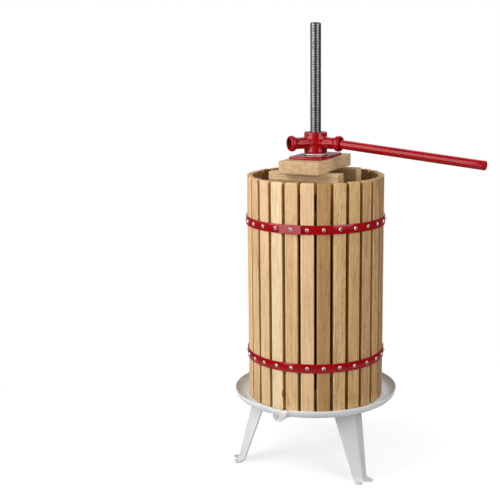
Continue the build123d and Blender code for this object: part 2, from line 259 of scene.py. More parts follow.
# ----------------------------------------------------------------- materials
class Look:
    """A node material with one principled shader."""

    def __init__(self, name):
        self.mat = bpy.data.materials.new(name)
        self.mat.use_nodes = True
        self.nt = self.mat.node_tree
        self.nt.nodes.clear()
        out = self.add("ShaderNodeOutputMaterial")
        self.bsdf = self.add("ShaderNodeBsdfPrincipled")
        self.join(self.bsdf.outputs[0], out.inputs["Surface"])
        self.coord = self.add("ShaderNodeTexCoord")

    def add(self, kind, **props):
        n = self.nt.nodes.new(kind)
        for k, v in props.items():
            setattr(n, k, v)
        return n

    def join(self, a, b):
        self.nt.links.new(a, b)

    def put(self, socket, value):
        if isinstance(value, bpy.types.NodeSocket):
            self.join(value, socket)
        else:
            socket.default_value = value

    def set(self, **values):
        for k, v in values.items():
            self.put(self.bsdf.inputs[k.replace("_", " ")], v)

    def math(self, op, a, b=0.0, c=0.0, clamp=False):
        n = self.add("ShaderNodeMath", operation=op, use_clamp=clamp)
        for s, v in zip(n.inputs, (a, b, c)):
            self.put(s, v)
        return n.outputs[0]

    def vec(self, op, a, b=None, scale=None):
        n = self.add("ShaderNodeVectorMath", operation=op)
        self.put(n.inputs[0], a)
        if b is not None:
            self.put(n.inputs[1], b)
        if scale is not None:
            self.put(n.inputs["Scale"], scale)
        return n.outputs["Value"] if op in ("LENGTH", "DOT_PRODUCT") else n.outputs[0]

    def place(self, v, loc, rot, scale):
        n = self.add("ShaderNodeMapping", vector_type="TEXTURE")
        self.put(n.inputs["Vector"], v)
        n.inputs["Location"].default_value = loc
        n.inputs["Rotation"].default_value = rot
        n.inputs["Scale"].default_value = scale
        return n.outputs[0]

    def parts(self, v):
        n = self.add("ShaderNodeSeparateXYZ")
        self.put(n.inputs[0], v)
        return n.outputs

    def point(self, x, y, z):
        n = self.add("ShaderNodeCombineXYZ")
        for s, v in zip(n.inputs, (x, y, z)):
            self.put(s, v)
        return n.outputs[0]

    def noise(self, v, scale, detail=3.0, rough=0.5, twist=0.0):
        n = self.add("ShaderNodeTexNoise")
        self.put(n.inputs["Vector"], v)
        n.inputs["Scale"].default_value = scale
        n.inputs["Detail"].default_value = detail
        n.inputs["Roughness"].default_value = rough
        n.inputs["Distortion"].default_value = twist
        return n.outputs[0]

    def cells(self, v, scale, feature="F1", out="Distance"):
        n = self.add("ShaderNodeTexVoronoi", feature=feature)
        self.put(n.inputs["Vector"], v)
        n.inputs["Scale"].default_value = scale
        return n.outputs[out]

    def span(self, v, a, b, c=0.0, d=1.0, soft=True):
        n = self.add("ShaderNodeMapRange", interpolation_type="SMOOTHSTEP" if soft else "LINEAR")
        for s, x in zip(n.inputs, (v, a, b, c, d)):
            self.put(s, x)
        return n.outputs[0]

    def ramp(self, fac, stops):
        n = self.add("ShaderNodeValToRGB")
        self.put(n.inputs[0], fac)
        els = n.color_ramp.elements
        while len(els) < len(stops):
            els.new(0.5)
        for e, (p, c) in zip(els, stops):
            e.position = p
            e.color = (*c, 1.0) if len(c) == 3 else c
        return n.outputs[0]

    def mix(self, fac, a, b, blend="MIX"):
        n = self.add("ShaderNodeMix", data_type="RGBA", blend_type=blend)
        self.put(n.inputs[0], fac)
        self.put(n.inputs[6], a if isinstance(a, bpy.types.NodeSocket) else (*a, 1.0))
        self.put(n.inputs[7], b if isinstance(b, bpy.types.NodeSocket) else (*b, 1.0))
        return n.outputs[2]

    def bump(self, height, strength, distance, normal=None):
        n = self.add("ShaderNodeBump")
        n.inputs["Strength"].default_value = strength
        n.inputs["Distance"].default_value = distance
        self.put(n.inputs["Height"], height)
        if normal is not None:
            self.put(n.inputs["Normal"], normal)
        self.join(n.outputs[0], self.bsdf.inputs["Normal"])
        return n.outputs[0]


def shade(c, k):
    return tuple(min(1.0, x * k) for x in c)


def wood(name, tone, centre, rot, seed, ring=2.6, pith=None, ray=0.0, marks=(), contrast=1.0, stave_painted_light=False, painted_shade=None, ends=None):
    """Planed hardwood. The grain runs along the piece's own Z; tone is its middle colour.
    marks are knots or stains in the piece's own millimetres: (x, y, z, width, height, depth).
    The stain heights paint shade on it, darker from the first height down to the second; ends, when given, tints the
    end faces at full strength in place of the darker end grain."""
    rng = np.random.default_rng(seed)
    k = Look(name)
    p = k.place(k.coord.outputs["Object"], [c * MM for c in centre], rot, (MM, MM, MM))
    n = k.place(k.coord.outputs["Normal"], (0, 0, 0), rot, (1, 1, 1))
    x, y, z = k.parts(p)
    shift = tuple(rng.uniform(-500, 500, 3))
    q = k.vec("ADD", p, shift)

    def stretch(a, b):
        return k.vec("MULTIPLY", q, (1 / a, 1 / a, 1 / b))

    if pith is None:
        a = rng.uniform(0, 2 * math.pi)
        d = rng.uniform(35, 110)
        pith = (d * math.cos(a), d * math.sin(a))
    tilt = rng.uniform(-0.02, 0.02)
    low = k.math("MULTIPLY_ADD", k.noise(stretch(24, 150), 1.0, 2.0), 11.0, -5.5)
    mid = k.math("MULTIPLY_ADD", k.noise(stretch(6, 50), 1.0, 3.0), 1.6, -0.8)
    dx = k.math("SUBTRACT", x, pith[0])
    dy = k.math("SUBTRACT", y, pith[1])
    dist = k.math("SQRT", k.math("ADD", k.math("MULTIPLY", dx, dx), k.math("MULTIPLY", dy, dy)))
    dist = k.math("MULTIPLY_ADD", z, tilt, dist)
    dist = k.math("ADD", dist, k.math("ADD", low, mid))
    turn = k.math("FRACT", k.math("DIVIDE", dist, ring))
    late = k.ramp(turn, [(0.0, (0.1,) * 3), (0.5, (0.28,) * 3), (0.86, (0.95,) * 3), (0.97, (0.75,) * 3), (1.0, (0.1,) * 3)])
    fibre = k.noise(stretch(0.9, 46), 1.0, 5.0, 0.68)
    streak = k.noise(stretch(2.1, 70), 1.0, 3.0, 0.6)
    broad = k.noise(stretch(9, 210), 1.0, 3.0, 0.55)
    mottle = k.noise(stretch(4.6, 15), 1.0, 3.0, 0.6, 0.4)
    patch = k.noise(stretch(34, 120), 1.0, 2.0)
    pores = k.span(k.noise(stretch(0.42, 7.5), 1.0, 2.0, 0.6), 0.60, 0.74)
    # every part swings about a middle value, so that tone stays the mean colour
    t = k.math("MULTIPLY_ADD", late, 0.28 * contrast, 0.52 - 0.122 * contrast)
    for part, weight in ((fibre, 0.48), (streak, 0.80 * contrast), (broad, 0.55 * contrast), (mottle, 0.62 * contrast), (patch, 0.40)):
        t = k.math("ADD", t, k.math("MULTIPLY_ADD", part, weight, -0.5 * weight))
    if ray:
        fleck = k.span(k.noise(k.vec("MULTIPLY", q, (1 / 5.0, 1 / 4.2, 1 / 2.1)), 1.0, 2.0, 0.5, 0.6), 0.54, 0.68)
        t = k.math("MULTIPLY_ADD", fleck, ray, t)
    col = k.ramp(
        t,
        [
            (0.16, shade(tone, 1.20)),
            (0.50, (tone[0] * 1.02, tone[1] * 1.01, tone[2] * 1.0)),
            (0.74, (tone[0] * 0.84, tone[1] * 0.79, tone[2] * 0.71)),
            (0.98, (tone[0] * 0.62, tone[1] * 0.53, tone[2] * 0.42)),
        ],
    )
    col = k.mix(k.math("MULTIPLY", pores, 0.34), col, (tone[0] * 0.50, tone[1] * 0.40, tone[2] * 0.30))
    for mx, my, mz, mw, mh, depth in marks:
        off = k.vec("MULTIPLY", k.vec("SUBTRACT", p, (mx, my, mz)), (1 / mw, 1 / mw, 1 / mh))
        off = k.vec("ADD", off, k.vec("SCALE", k.vec("SUBTRACT", k.point(k.noise(stretch(3, 6), 1.0), k.noise(stretch(2.5, 7), 1.0), 0.5), (0.5, 0.5, 0.5)), scale=0.7))
        hit = k.span(k.vec("LENGTH", off), 1.0, 0.25, 0.0, depth)
        col = k.mix(hit, col, (tone[0] * 0.30, tone[1] * 0.20, tone[2] * 0.13))
    across = k.span(k.math("ABSOLUTE", k.parts(n)[2]), 0.72, 0.92)
    col = k.mix(k.math("MULTIPLY", across, 1.0 if ends else 0.55), col, k.mix(1.0, col, ends or (0.74, 0.66, 0.56), "MULTIPLY"))
    if stave_painted_light:
        # painted highlight: the rounded outer edges are painted paler where they catch the light; painted shade: the
        # narrow sides, in the gaps between staves, are painted darker
        nx, ny = k.parts(n)[0], k.math("ABSOLUTE", k.parts(n)[1])
        rim = k.math("MULTIPLY", k.span(ny, 0.10, 0.45), k.span(ny, 0.93, 0.75))
        col = k.mix(k.math("MULTIPLY", rim, k.span(nx, 0.0, 0.3)), col, k.mix(1.0, col, (1.24, 1.27, 1.32), "MULTIPLY"))
        col = k.mix(k.span(ny, 0.84, 0.97), col, k.mix(1.0, col, (0.76, 0.64, 0.36), "MULTIPLY"))
        # painted shade: the inner faces are painted darker where the basket shades them, and darker still towards the
        # bottom
        toward_bottom = k.span(k.math("MULTIPLY_ADD", broad, 30.0, z), 175.0, 135.0)
        within = k.mix(toward_bottom, k.mix(1.0, col, (0.60, 0.52, 0.38), "MULTIPLY"), k.mix(1.0, col, (0.24, 0.17, 0.10), "MULTIPLY"))
        col = k.mix(k.span(nx, -0.75, -0.95), col, within)
    if painted_shade:
        # painted shade: the piece is painted darker from the first height down, where the stave tops shade it
        up = k.math("MULTIPLY_ADD", k.parts(k.coord.outputs["Object"])[2], 1000.0, k.math("MULTIPLY_ADD", broad, 12.0, -6.0))
        col = k.mix(k.span(up, painted_shade[0], painted_shade[1]), col, k.mix(1.0, col, (0.34, 0.26, 0.17), "MULTIPLY"))
    k.put(k.bsdf.inputs["Base Color"], col)
    k.put(k.bsdf.inputs["Roughness"], k.math("MULTIPLY_ADD", fibre, 0.22, 0.44))
    k.set(Specular_IOR_Level=0.32)
    h = k.math("MULTIPLY_ADD", late, 0.35, k.math("MULTIPLY", fibre, 0.8))
    h = k.math("MULTIPLY_ADD", pores, -0.5, h)
    k.bump(h, 0.30, 0.00022)
    return k.mat


def red_paint(name, cast=False, gloss=0.32, peel=0.03):
    """Glossy red enamel; on a casting it lies over a slightly uneven skin."""
    k = Look(name)
    p = k.vec("SCALE", k.coord.outputs["Object"], scale=1000.0)
    cloud = k.noise(p, 0.035, 3.0)
    speck = k.span(k.noise(p, 0.9, 2.0, 0.6), 0.70, 0.80)
    col = k.ramp(cloud, [(0.30, (0.300, 0.0018, 0.0054)), (0.70, (0.355, 0.0026, 0.0074))])
    col = k.mix(k.math("MULTIPLY", speck, 0.16), col, (0.22, 0.0015, 0.0045))
    k.put(k.bsdf.inputs["Base Color"], col)
    k.put(k.bsdf.inputs["Roughness"], k.math("MULTIPLY_ADD", k.noise(p, 0.22, 3.0), 0.04, 0.055))
    k.set(Specular_IOR_Level=gloss)
    if cast:
        h = k.math("MULTIPLY_ADD", k.noise(p, 0.30, 1.0, 0.5), 1.0, k.math("MULTIPLY", k.noise(p, 0.09, 1.0), 1.6))
        k.bump(h, 0.006, 0.0005)
    else:
        k.bump(k.noise(p, 0.30, 1.0, 0.5), peel, 0.0003)
    return k.mat


def white_coat(name, tone=1.0, painted_shade=False):
    """Satin white powder coat with its fine orange-peel skin; on the tray, painted shade under the basket and a painted
    tint on the lip.
    """
    k = Look(name)
    p = k.vec("SCALE", k.coord.outputs["Object"], scale=1000.0)
    cloud = k.noise(p, 0.02, 3.0)
    col = k.ramp(cloud, [(0.3, shade((0.705, 0.720, 0.727), tone)), (0.7, shade((0.752, 0.767, 0.774), tone))])
    dust = k.span(k.noise(p, 1.3, 2.0, 0.6), 0.70, 0.82)
    col = k.mix(k.math("MULTIPLY", dust, 0.10), col, (0.52, 0.51, 0.48))
    if painted_shade:
        x, y, z = k.parts(p)
        r = k.math("SQRT", k.math("ADD", k.math("MULTIPLY", x, x), k.math("MULTIPLY", y, y)))
        # painted shade: the tray floor inside the basket is painted darker, where the basket shades it
        under = k.math("MULTIPLY", k.span(k.math("MULTIPLY_ADD", cloud, 8.0, r), 130.0, 118.0), k.span(z, 147.2, 147.6))
        col = k.mix(under, col, k.mix(1.0, col, (0.60, 0.46, 0.32), "MULTIPLY"))
        # painted tint: the lip is painted cooler and darker, offsetting the warm light the wood throws onto it
        spout = k.math("MULTIPLY", k.span(y, -154.0, -164.0), k.span(k.math("ABSOLUTE", x), 22.0, 15.0))
        col = k.mix(spout, col, k.mix(1.0, col, (0.83, 0.87, 0.92), "MULTIPLY"))
    k.put(k.bsdf.inputs["Base Color"], col)
    k.put(k.bsdf.inputs["Roughness"], k.math("MULTIPLY_ADD", k.noise(p, 0.3, 2.0), 0.12, 0.36))
    k.set(Specular_IOR_Level=0.45)
    k.bump(k.noise(p, 0.75, 2.0, 0.55), 0.12, 0.00025)
    return k.mat


def thread_steel(name):
    """Rolled bare steel: bright worn crests, dark oily grooves."""
    k = Look(name)
    p = k.vec("SCALE", k.coord.outputs["Object"], scale=1000.0)
    x, y, z = k.parts(p)
    r = k.math("SQRT", k.math("ADD", k.math("MULTIPLY", x, x), k.math("MULTIPLY", y, y)))
    crest = k.span(r, 10.45, 10.93)
    grime = k.noise(p, 0.12, 4.0, 0.6)
    col = k.ramp(crest, [(0.0, (0.125, 0.124, 0.120)), (0.55, (0.160, 0.158, 0.154)), (1.0, (0.200, 0.200, 0.196))])
    col = k.mix(k.span(grime, 0.42, 0.72, 0.0, 0.55), col, (0.060, 0.054, 0.046))
    # painted shade: the thread is painted darker inside the basket, below the stave tops, where shade falls
    juice = k.math("MULTIPLY", k.span(k.math("MULTIPLY_ADD", grime, 40.0, z), 620.0, 545.0), k.span(z, 146.0, 154.0))
    col = k.mix(juice, col, k.mix(1.0, col, (0.42, 0.34, 0.26), "MULTIPLY"))
    k.put(k.bsdf.inputs["Base Color"], col)
    k.put(k.bsdf.inputs["Roughness"], k.math("MULTIPLY_ADD", grime, 0.10, 0.27))
    k.set(Metallic=1.0)
    k.bump(k.noise(p, 1.1, 3.0, 0.6), 0.12, 0.0002)
    return k.mat


def zinc(name, bright=1.0, rough=0.26, tint=(1.0, 1.0, 1.0), metal=1.0):
    """Zinc-plated steel with a faint crystal pattern."""
    k = Look(name)
    p = k.vec("SCALE", k.coord.outputs["Object"], scale=1000.0)
    flower = k.cells(p, 0.35)
    cloud = k.noise(p, 0.25, 3.0)
    t = k.math("MULTIPLY_ADD", flower, 0.25, k.math("MULTIPLY", cloud, 0.7))
    dark, pale = [tuple(c * m for c, m in zip(shade(tone, bright), tint)) for tone in ((0.56, 0.57, 0.585), (0.74, 0.745, 0.75))]
    col = k.ramp(t, [(0.2, dark), (0.75, pale)])
    k.put(k.bsdf.inputs["Base Color"], col)
    k.put(k.bsdf.inputs["Roughness"], k.math("MULTIPLY_ADD", cloud, 0.16, rough))
    k.set(Metallic=metal)
    k.bump(k.noise(p, 0.8, 2.0), 0.08, 0.0002)
    return k.mat


RED = red_paint("red_enamel")
RED_CAST = red_paint("red_enamel_cast", cast=True)
RED_BAR = red_paint("red_enamel_bar", gloss=0.24, peel=0.012)
WHITE = white_coat("white_powder_coat")
# painted light: the tray's copy of the coat is painted paler and the legs' copy darker, evening out the light that
# falls strongly on the legs and weakly into the tray
WHITE_TRAY = white_coat("white_powder_coat_tray", 1.08, painted_shade=True)
WHITE_LEG = white_coat("white_powder_coat_leg", 0.97)
STEEL = thread_steel("thread_steel")
ZINC = zinc("zinc_dull", 0.92, 0.30)
BRIGHT = zinc("zinc_bright", 1.20, 0.22, (1.0, 0.96, 0.90), metal=0.5)
# painted shade: a nearly black finish for the cross recesses of the screw heads, where shade falls in them
PAINTED_RECESS_SHADE = zinc("zinc_recess_painted_shade", 0.08, 0.50, (1.0, 0.8, 0.6))

# -------------------------------------------------------------------- basket
OAK = (0.685, 0.470, 0.258)
rng = np.random.default_rng(11)
stave_phi = [STAVE_PHASE + 360.0 / STAVES * i for i in range(STAVES)]
# colour of each stave against the middle oak tone, going round from the pouring lip; the front staves' tones also carry
# painted light: the last stave, on the lit left, is painted paler and bluer, and the staves towards the shaded right
# darker
STAVE_TONE_AND_LIGHT = [
    (0.94, 0.90, 0.84), (1.04, 1.02, 1.06), (0.63, 0.525, 0.375), (0.92, 0.89, 0.78), (0.87, 0.79, 0.64), (0.77, 0.70, 0.62),
    (0.79, 0.71, 0.60), (0.61, 0.555, 0.495), (0.86, 0.83, 0.78), (1.00, 0.99, 0.95), (0.84, 0.80, 0.72), (1.02, 1.02, 1.02),
    (0.95, 0.93, 0.89), (0.80, 0.75, 0.66), (0.92, 0.90, 0.86), (1.00, 0.99, 0.97), (0.88, 0.85, 0.78), (1.03, 1.04, 1.06),
    (0.93, 0.89, 0.82), (0.74, 0.68, 0.58), (1.02, 1.03, 1.04), (0.95, 0.94, 0.91), (0.87, 0.83, 0.76), (0.98, 0.95, 0.92),
    (0.90, 0.90, 0.91), (0.99, 1.00, 1.02), (1.11, 1.24, 1.40),
]
# how strongly the grain of each stave shows
STAVE_GRAIN = [
    1.0, 0.7, 1.4, 1.7, 1.6, 1.5, 1.5, 1.3, 1.0, 1.3, 1.5, 0.9, 1.2, 1.6, 1.1, 1.0, 1.4, 0.9, 1.2, 1.5, 1.0, 1.3, 1.5, 1.1, 1.3, 0.8,
    0.7,
]
# how far a stave sits off its even place, along the hoop
STAVE_SEAT = {}


def stave_section():
    """Outline of a stave, radial x by tangential y, with its outward normals."""
    hx, hy = STAVE_T / 2, STAVE_W / 2
    pts = []
    for sx, sy, r, a0 in ((1, 1, 2.6, 0), (-1, 1, 1.8, 90), (-1, -1, 1.8, 180), (1, -1, 2.6, 270)):
        cx, cy = sx * (hx - r), sy * (hy - r)
        for i in range(6):
            a = rad(a0 + 18.0 * i)
            pts.append((cx + r * math.cos(a), cy + r * math.sin(a), math.cos(a), math.sin(a)))
    out = []
    for i, p in enumerate(pts):
        out.append(p)
        q = pts[(i + 1) % len(pts)]
        gap = math.hypot(q[0] - p[0], q[1] - p[1])
        n = int(gap // 4.5)
        for j in range(1, n + 1):
            t = j / (n + 1)
            out.append((p[0] + (q[0] - p[0]) * t, p[1] + (q[1] - p[1]) * t, p[2], p[3]))
    return np.array(out)


SECTION = stave_section()


def build_stave(i):
    phi = stave_phi[i]
    short = rng.uniform(0.0, 0.8)
    z0, z1 = STAVE_Z0, STAVE_Z1 - short
    bow = rng.uniform(-0.30, 0.10)
    side = rng.uniform(-0.30, 0.30)
    seat = STAVE_SEAT.get(i, 0.0)
    twist = rad(rng.uniform(-0.35, 0.35))
    wide = rng.uniform(0.970, 0.992)
    wave = waver(rng)
    edge = 3.0
    # the ends are sanded round, more across the width than through the thickness
    turn = [(edge * (1 - math.cos(rad(a))), 1 - math.sin(rad(a))) for a in (0, 15, 30, 45, 60, 75, 90)]
    rows = [(z0 + d, g) for d, g in turn]
    body = set(np.linspace(z0 + 6, z1 - 6, 34))
    chip = 181.0 if i == STAVES - 1 else None
    if chip:
        body |= set(chip + np.linspace(-18, 18, 25))
    rows += [(z, 0.0) for z in sorted(body)]
    rows += [(z1 - d, g) for d, g in reversed(turn)]
    verts = []
    for z, inset in rows:
        s = (z - z0) / (z1 - z0)
        x = SECTION[:, 0] * (1 - 1.2 * inset / (STAVE_T / 2))
        y = SECTION[:, 1] * (1 - 2.8 * inset / (STAVE_W / 2)) * wide
        w = wave(s) * 0.07
        x = x + SECTION[:, 2] * w
        y = y + SECTION[:, 3] * w
        if chip:
            d = np.exp(-((z - chip) / 8.0) ** 4) * np.clip((SECTION[:, 1] - 7.5) / 5.5, 0, 1) ** 1.5
            x = x - 2.3 * d * (SECTION[:, 0] > 0)
            y = y - 2.0 * d
        a = twist * (s - 0.5)
        x, y = x * math.cos(a) - y * math.sin(a), x * math.sin(a) + y * math.cos(a)
        arch = math.sin(math.pi * s)
        x = x + STAVE_MID_R + bow * arch
        y = y + side * arch + seat
        verts.append(np.stack([x, y, np.full_like(x, z)], 1))
    n = len(SECTION)
    v = np.concatenate(verts) @ azimuth(phi).T
    f = grid_faces(len(rows), n, wrap=True)
    f.append(tuple(range(n - 1, -1, -1)))
    f.append(tuple(range((len(rows) - 1) * n, len(rows) * n)))
    ob = add_mesh(f"stave_wood_{i + 1:02d}", v, f, 50)
    d = azimuth(phi) @ np.array([STAVE_MID_R, 0, (z0 + z1) / 2])
    tone = tuple(c * m for c, m in zip(OAK, STAVE_TONE_AND_LIGHT[i]))
    marks = []
    if i == 0:
        marks = [(6.0, -7.0, -211.0, 1.7, 16.0, 0.55), (6.0, -3.0, -215.0, 1.9, 12.0, 0.50), (6.0, 4.5, -196.0, 1.4, 6.0, 0.35)]
    elif i == STAVES - 1:
        marks = [(5.5, 12.6, -197.0, 1.8, 10.0, 0.8)]
    elif rng.uniform() < 0.3:
        marks = [(6.0, rng.uniform(-9, 9), rng.uniform(-190, 190), rng.uniform(1.2, 2.2), rng.uniform(4, 9), 0.35)]
    mat = wood(
        f"stave_wood_{i + 1:02d}",
        tone,
        d,
        (0, 0, rad(phi - 90.0)),
        100 + i,
        ring=rng.uniform(3.0, 5.4),
        ray={3: 0.22, 9: 0.15, 17: 0.18, 21: 0.12}.get(i, 0.03),
        marks=marks,
        contrast=STAVE_GRAIN[i],
        stave_painted_light=True,
    )
    settle(ob, "basket", mat, "stave_wood", f"stave_{i + 1:02d}")


for i in range(STAVES):
    build_stave(i)


def build_hoop(which):
    z0 = HOOP_Z[which]
    zm = z0 + HOOP_H / 2
    e = 0.6
    out = []
    for cx, cz, a0 in (
        (HOOP_R + HOOP_T - e, HOOP_H / 2 - e, 0),
        (HOOP_R + e, HOOP_H / 2 - e, 90),
        (HOOP_R + e, -HOOP_H / 2 + e, 180),
        (HOOP_R + HOOP_T - e, -HOOP_H / 2 + e, 270),
    ):
        out += arc(cx, cz, e, a0, a0 + 90, 3)
    n = STAVES * 10
    verts = []
    for j in range(n):
        phi = 360.0 * j / n
        # the strip is drawn in a little under each screw
        pull = -0.10 * math.cos(rad(STAVES * (phi - STAVE_PHASE)))
        m = azimuth(phi)
        verts.append(np.array([(r + pull, 0.0, zm + z) for r, z in out]) @ m.T)
    v = np.concatenate(verts)
    c = len(out)
    f = []
    for j in range(n):
        a, b = j * c, ((j + 1) % n) * c
        for i in range(c):
            f.append((a + i, b + i, b + (i + 1) % c, a + (i + 1) % c))
    # the outer end of the strip lies flat over the inner one
    lv, lf = rounded_box((1.9, 2 * LAP_HALF, HOOP_H), 0.55, 3.0, 3)
    lv = (lv + np.array([LAP_FACE - 0.95, 0, zm])) @ azimuth(stave_phi[HOOP_LAP[which]]).T
    f += [tuple(np.array(q) + len(v)) for q in lf]
    v = np.concatenate([v, lv])
    settle(add_mesh(f"hoop_strip_{which}", v, f, 40), "basket", RED, "red_paint", f"hoop_{which}")

    # domed screws with a cross recess
    radii = [0.0, 0.5, 0.8, 1.15, 1.6, 2.05, 2.4, 2.75, 2.95, 3.25, 3.45, 3.57, 3.6]
    seg = 48
    sv, rings, deep = [], [], []
    big = (3.6**2 + 2.4**2) / 4.8
    for r in radii:
        h = 3.0 - big + math.sqrt(big * big - r * r)
        ids = []
        for s in range(1 if r == 0 else seg):
            t = 2 * math.pi * s / seg
            x, y = r * math.cos(t), r * math.sin(t)
            slot = min(abs(x), abs(y))
            cut = np.clip((0.85 - slot) / 0.30, 0, 1) * np.clip((2.45 - r) / 0.42, 0, 1)
            cut = max(cut, np.clip((1.55 - r) / 0.35, 0, 1))
            depth = 1.7 * cut * (1.0 - 0.25 * r / 2.5)
            deep.append(depth)
            ids.append(len(sv))
            sv.append((x, y, h - depth))
        rings.append(ids)
    ids = []
    for s in range(seg):
        t = 2 * math.pi * s / seg
        ids.append(len(sv))
        sv.append((3.6 * math.cos(t), 3.6 * math.sin(t), 0.0))
    rings.append(ids)
    sf = []
    for a, b in zip(rings, rings[1:]):
        for s in range(seg):
            m = (s + 1) % seg
            sf.append((a[0], b[s], b[m]) if len(a) == 1 else (a[s], b[s], b[m], a[m]))
    sf.append(tuple(reversed(rings[-1])))
    sv = np.array(sv)
    allv, allf = [], []
    for i, phi in enumerate(stave_phi):
        seat = LAP_FACE if i == HOOP_LAP[which] else HOOP_R + HOOP_T - 0.10
        m = azimuth(phi) @ about("Y", 90 + rng.uniform(-2.5, 2.5)) @ about("Z", rng.uniform(0, 90))
        at = azimuth(phi) @ np.array([seat, STAVE_SEAT.get(i, 0.0), zm + rng.uniform(-0.25, 0.25)])
        allf += [tuple(np.array(q) + len(sv) * i) for q in sf]
        allv.append(sv @ m.T + at)
    ob = add_mesh(f"hoop_screw_heads_{which}", np.concatenate(allv), allf, 45)
    settle(ob, "basket", [BRIGHT, PAINTED_RECESS_SHADE], "bright_screw", f"hoop_screws_{which}")
    deep += [0.0] * (len(sv) - len(deep))
    # the faces deep in the cross recesses take the painted-shade finish
    for q in ob.data.polygons:
        q.material_index = int(sum(deep[i % len(sv)] for i in q.vertices) / len(q.vertices) > 0.55)


build_hoop("upper")
build_hoop("lower")

# ------------------------------------------------------------ pressing stack
PRESS = (0.74, 0.520, 0.298)


def build_plank(name, node, size, centre, turn, seed, tone, grain, ring=3.0, pith=None, bore=0.0, marks=(), contrast=1.0, painted_shade=None, ends=None):
    """Planed block with worn round edges; grain is the axis its fibres follow."""
    r = np.random.default_rng(seed)
    v, f = rounded_box(size, 1.5, 6.0, 3)
    wave = [waver(r) for _ in range(3)]
    t = v / np.array(size) + 0.5
    v = v + 0.10 * np.stack([wave[0](t[:, 1]), wave[1](t[:, 2]), wave[2](t[:, 0])], 1) - 0.05
    spin = about("Z", turn)
    ob = add_mesh(name, v @ spin.T + np.array(centre), f, 50)
    if bore:
        cv, cf = lathe([(0, -60), (bore, -60), (bore, 60), (0, 60)], 64)
        tool = add_mesh("bore_tool", cv + np.array(centre), cf, 30)
        modify(ob, "BOOLEAN", object=tool, operation="DIFFERENCE", solver="EXACT")
        bake_modifiers(ob, 40)
        bpy.data.objects.remove(tool)
    rot = {"X": (0, rad(90), rad(turn)), "Y": (rad(90), 0, rad(turn))}[grain]
    mat = wood(name, tone, centre, rot, seed, ring=ring, pith=pith, ray=0.05, marks=marks, contrast=contrast, painted_shade=painted_shade, ends=ends)
    settle(ob, "press_stack", mat, "press_wood", node)


def turned(x, y, z):
    a = about("Z", STACK_TURN) @ np.array([x, y, 0.0])
    return (a[0], a[1], z)


# painted shade: the lower beams are painted far darker than the rest of the press wood, standing in for the shade
# inside the basket
for s, part in ((-1, "left"), (1, "right")):
    build_plank(f"lower_beam_{part}_wood", f"lower_beam_{part}", (29, 150, 41.5), turned(s * 51.0, 0, 555.75), STACK_TURN, 300 + s, (PRESS[0] * 0.42, PRESS[1] * 0.34, PRESS[2] * 0.25), "Y", pith=(60 * s, 25))
# painted shade: both upper beams are darkened below the stave tops; the rear beam's front face is painted darker as
# painted shade, and its end faces paler again as painted light
for s, part, tone, contrast, painted_shade, ends in (
    (-1, "front", shade(PRESS, 0.90), 1.9, (604.0, 594.0), None),
    (1, "rear", (PRESS[0] * 0.52, PRESS[1] * 0.475, PRESS[2] * 0.38), 1.2, (595.0, 583.0), (1.95, 2.15, 2.50)),
):
    build_plank(f"upper_beam_{part}_wood", f"upper_beam_{part}", (150, 29, 41.5), turned(0, s * 51.0, 597.25), STACK_TURN, 310 + s, tone, "X", ring=5.0, pith=(72, 34 * s), contrast=contrast, painted_shade=painted_shade, ends=ends)
build_plank("top_block_wood", "top_block", (85, 180, 25), (0, 0, 630.5), STACK_TURN, 320, shade(PRESS, 0.86), "Y", ring=4.4, pith=(70, -75), bore=13.0, contrast=1.6)


def build_board(part, side, seed):
    """Half-round pressing board, glued up from planks."""
    n = 72
    top, bottom, edge = 535.0, 510.0, 1.6
    outline = []
    r, inner, gap = 124.0, 13.0, 0.5
    a0 = math.asin(gap / r)
    for i in range(n + 1):
        a = a0 + (math.pi - 2 * a0) * i / n
        outline.append((r * math.cos(a), r * math.sin(a)))
    b0 = math.asin(gap / inner)
    for i in range(25):
        a = math.pi - b0 - (math.pi - 2 * b0) * i / 24
        outline.append((inner * math.cos(a), inner * math.sin(a)))
    outline = np.array(outline)
    if side < 0:
        outline = outline * np.array([-1, -1])
    m = len(outline)
    v = np.concatenate([np.column_stack([outline, np.full(m, z)]) for z in (bottom, top)])
    f = [tuple(range(m - 1, -1, -1)), tuple(range(m, 2 * m))]
    f += [(i, (i + 1) % m, m + (i + 1) % m, m + i) for i in range(m)]
    v = v @ about("Z", STACK_TURN).T
    ob = add_mesh(f"press_board_{part}_wood", v, f, 30)
    modify(ob, "BEVEL", width=edge * MM, segments=3, limit_method="ANGLE", angle_limit=rad(50))
    bake_modifiers(ob, 40)
    # painted shade: the boards are painted far darker than the rest of the press wood, standing in for the shade inside
    # the basket
    mat = wood(ob.name, (PRESS[0] * 0.38, PRESS[1] * 0.30, PRESS[2] * 0.22), turned(0, side * 62, 522.5), (0, rad(90), rad(STACK_TURN)), seed, ring=4.0, pith=(90, 40 * side))
    settle(ob, "press_stack", mat, "press_wood", f"press_board_{part}")


build_board("front", -1, 331)
build_board("rear", 1, 332)


